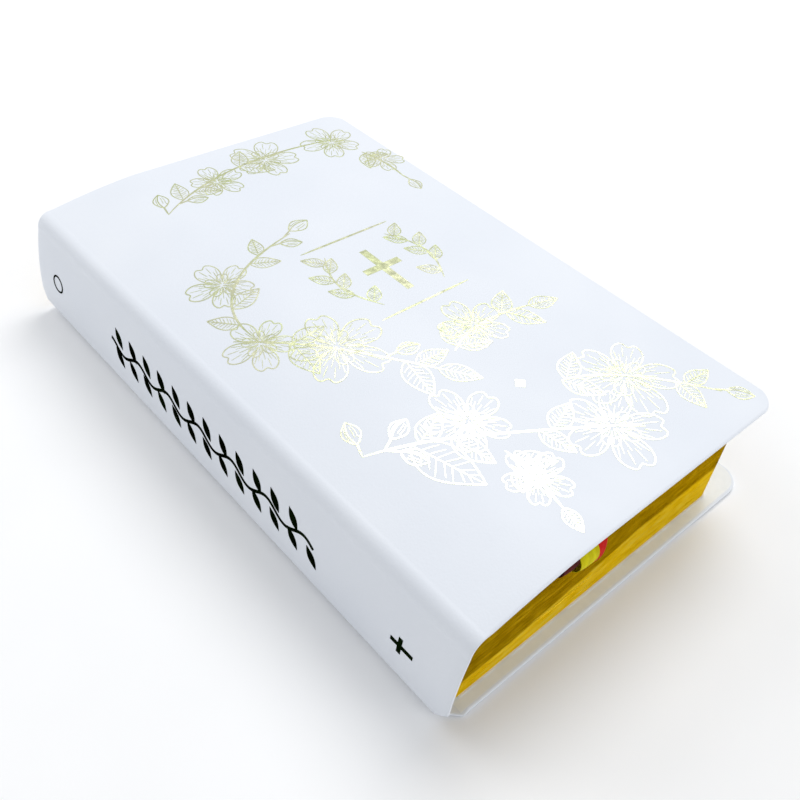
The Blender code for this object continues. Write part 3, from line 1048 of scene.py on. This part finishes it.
def spine_foil(finish):
    """A running vine along the middle, a ring near the head and a cross near the tail."""
    work = LineWork(on_spine)
    middle = 19.5 * MM
    first, last = TAIL + 58 * MM, TAIL + 171 * MM
    sway = 1.8 * MM
    vine = [(u, middle + sway * math.sin((u - first) / (2.9 * MM))) for u in spread(first, last, 220)]
    work.stroke(vine, 1.2 * MM, taper=False)
    blade = blade_outline(8.2 * MM, 1.6 * MM)
    for i, u in enumerate(spread(first + 3 * MM, last - 3 * MM, 24)):
        side = 1 if i % 2 else -1
        slant = 0.9 if side > 0 else math.pi + 0.9
        work.patch(turned(blade, (u, middle + side * 0.6 * MM), slant))
    radius = 3.2 * MM
    ring = [(radius * math.cos(a), radius * math.sin(a)) for a in spread(0, 2 * math.pi, 32)]
    work.stroke(turned(ring, (TAIL + 210 * MM, middle), 0.0), 0.7 * MM, taper=False)
    upright = cross_outline(3.2 * MM, 5.2 * MM, 3.6 * MM, 0.8 * MM)
    work.patch(turned(upright, (TAIL + 20.5 * MM, 17.5 * MM), -math.pi / 2))
    made = work.make("foil_spine", finish)
    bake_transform(made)


# ---- carried-over nodes -----------------------------------------------------------------------

def finish_nodes(materials):
    """Gives every CAD node that stays visible its own finish."""
    for name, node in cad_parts.items():
        for key, finish in materials:
            if key in name:
                node.data.materials.clear()
                node.data.materials.append(finish)
                break


# ---- studio -----------------------------------------------------------------------------------

def add_camera():
    data = bpy.data.cameras.new("camera")
    data.lens = CAMERA_LENS
    data.sensor_width = 36.0
    data.clip_start = 0.01
    camera = bpy.data.objects.new("camera", data)
    bpy.context.scene.collection.objects.link(camera)
    aim = Vector(CAMERA_AIM).to_track_quat("-Z", "Y").to_matrix().to_4x4()
    roll = Matrix.Rotation(math.radians(CAMERA_ROLL), 4, "Z")
    camera.matrix_world = Matrix.Translation(CAMERA_PLACE) @ aim @ roll
    bpy.context.scene.camera = camera


def add_light(name, place, aim, size, power):
    data = bpy.data.lights.new(name, "AREA")
    data.shape = "DISK"
    data.size = size
    data.energy = power
    light = bpy.data.objects.new(name, data)
    bpy.context.scene.collection.objects.link(light)
    light.location = place
    direction = Vector(aim) - Vector(place)
    light.rotation_euler = direction.to_track_quat("-Z", "Y").to_euler()


def add_studio():
    """A white floor and a pale surround, lit by wide soft lights."""
    world = bpy.data.worlds.new("studio")
    world.use_nodes = True
    world.node_tree.nodes["Background"].inputs["Color"].default_value = (0.95, 0.97, 1.0, 1.0)
    world.node_tree.nodes["Background"].inputs["Strength"].default_value = 0.55
    bpy.context.scene.world = world
    bpy.context.scene.view_settings.view_transform = "Standard"
    for light in LIGHTS:
        add_light(*light)
    finish = Nodes("floor", (0.96, 0.96, 0.96), 0.9)
    grain = finish.noise(finish.coordinates((20, 20, 20)), 1.0, 2.0)
    finish.color(finish.ramp(grain, ((0.3, (0.95, 0.95, 0.95)), (0.7, (0.97, 0.97, 0.97)))))
    reach = FLOOR_REACH
    corners = [(x, y, -FLOOR_DROP) for x, y in ((-reach, -reach), (reach, -reach), (reach, reach),
                                                (-reach, reach))]
    floor = mesh_object("floor", corners, [(0, 1, 2, 3)], [finish.material])


# ---- the whole --------------------------------------------------------------------------------

def main():
    add_camera()
    add_studio()
    build_cover(leather())
    build_block(gilt(), bible_paper())
    ribbons = {
        "maroon": satin("satin_maroon", (0.085, 0.003, 0.003), (0.045, 0.001, 0.001)),
        "gold": satin("satin_gold", (0.66, 0.60, 0.004), (0.52, 0.45, 0.002)),
        "red": satin("satin_red", (0.70, 0.010, 0.004), (0.50, 0.004, 0.002)),
    }
    tails = (("maroon", 0.84, 1.2 * MM), ("gold", 1.0, 1.4 * MM), ("red", 1.0, 1.8 * MM))
    for color, share_out, slant in tails:
        ribbon_tail(color, share_out, slant, ribbons[color])
    build_linings(paper("lining_paper", (0.90, 0.92, 0.92), (0.87, 0.89, 0.89), 400))
    build_flyleaves(paper("flyleaf_paper", (0.94, 0.93, 0.90), (0.90, 0.89, 0.86), 500))
    card = paper("grey_card", (0.55, 0.50, 0.42), (0.42, 0.38, 0.32), 500)
    finish_nodes([
        ("ribbon_maroon", ribbons["maroon"]),
        ("ribbon_gold", ribbons["gold"]),
        ("ribbon_red", ribbons["red"]),
        ("board", card), ("strip", card),
        ("liner", paper("kraft_paper", (0.60, 0.45, 0.28), (0.48, 0.34, 0.2), 450)),
        ("gauze", woven("starched_gauze", (0.86, 0.84, 0.78), (0.62, 0.60, 0.54), 320.0)),
        ("thread", woven("linen_thread", (0.92, 0.91, 0.86), (0.72, 0.70, 0.64), 900.0)),
        ("band", woven("band_cloth", (0.92, 0.91, 0.88), (0.66, 0.64, 0.6), 450.0)),
    ])
    front_foil(foil("gold_foil", (1.0, 1.0, 0.70), (0.88, 0.94, 0.54), 0.2))
    # Painted reflection: the spine's lettering is gold foil, given a near-black colour that stands in
    # for the dark reflection it shows
    spine_foil(foil("spine_foil_painted_dark_reflection", (0.012, 0.024, 0.006), (0.003, 0.006, 0.001), 0.45))


main()
